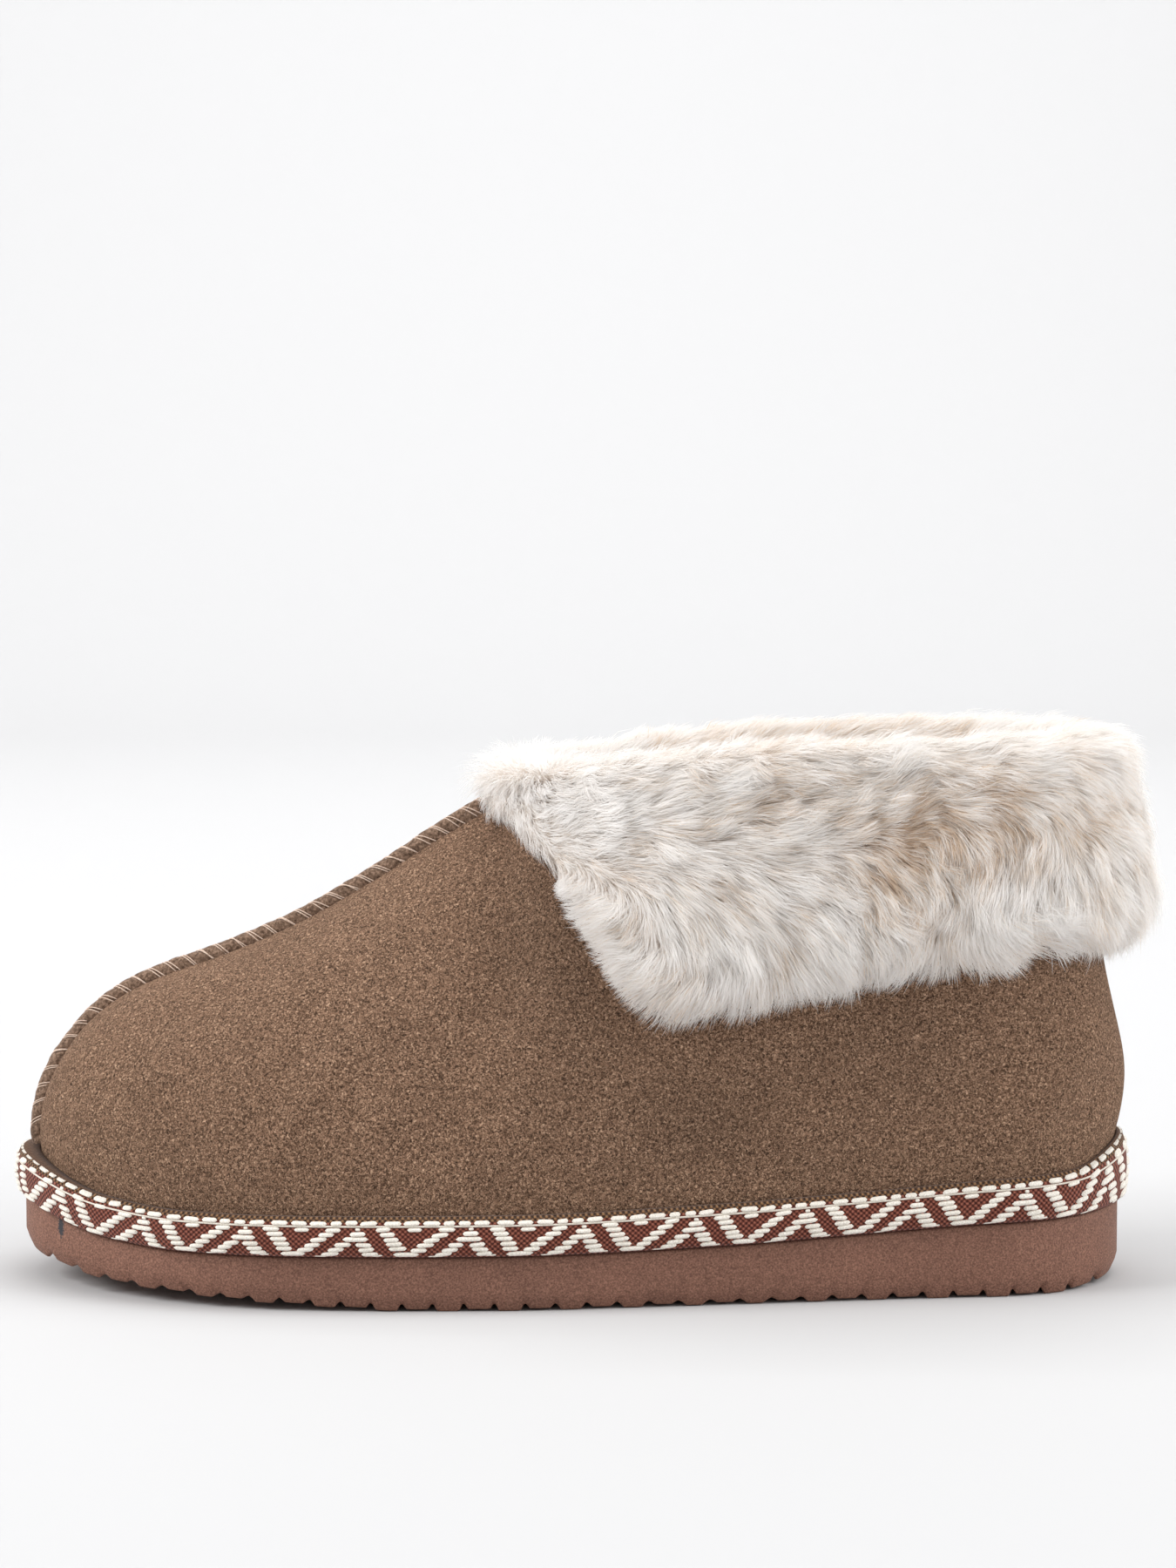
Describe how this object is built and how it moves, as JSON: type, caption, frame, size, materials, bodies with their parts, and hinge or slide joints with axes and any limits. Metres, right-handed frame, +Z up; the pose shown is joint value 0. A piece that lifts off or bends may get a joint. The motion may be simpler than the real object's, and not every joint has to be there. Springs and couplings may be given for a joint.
{
  "type": "bootie slipper",
  "caption": "Left bootie slipper with a rounded toe, centre ridge seam, woven zigzag tape, saw-edged foam sole and a turned-down fur cuff.",
  "frame": {"origin": "middle of the shoe's box, on the ground", "axes": "+X towards the heel, +Y towards the inner side of the foot, +Z up"},
  "size_m": [0.2704, 0.1004, 0.1302],
  "materials": {
    "foam_sole": "matt moulded foam, fine speckle",
    "pile_lining": "short soft pile",
    "suede": "imitation suede with a fine nap",
    "rolled_suede": "rolled suede strip, whip-stitched",
    "woven_tape": "woven tape, dark ground with a pale zigzag",
    "fur": "long soft pile"
  },
  "bodies": {
    "root": {"outsole": "foam_sole", "insole": "pile_lining", "upper": "suede", "ridge_seam": "rolled_suede", "braid": "woven_tape", "cuff": "fur"}
  },
  "joints": []
}
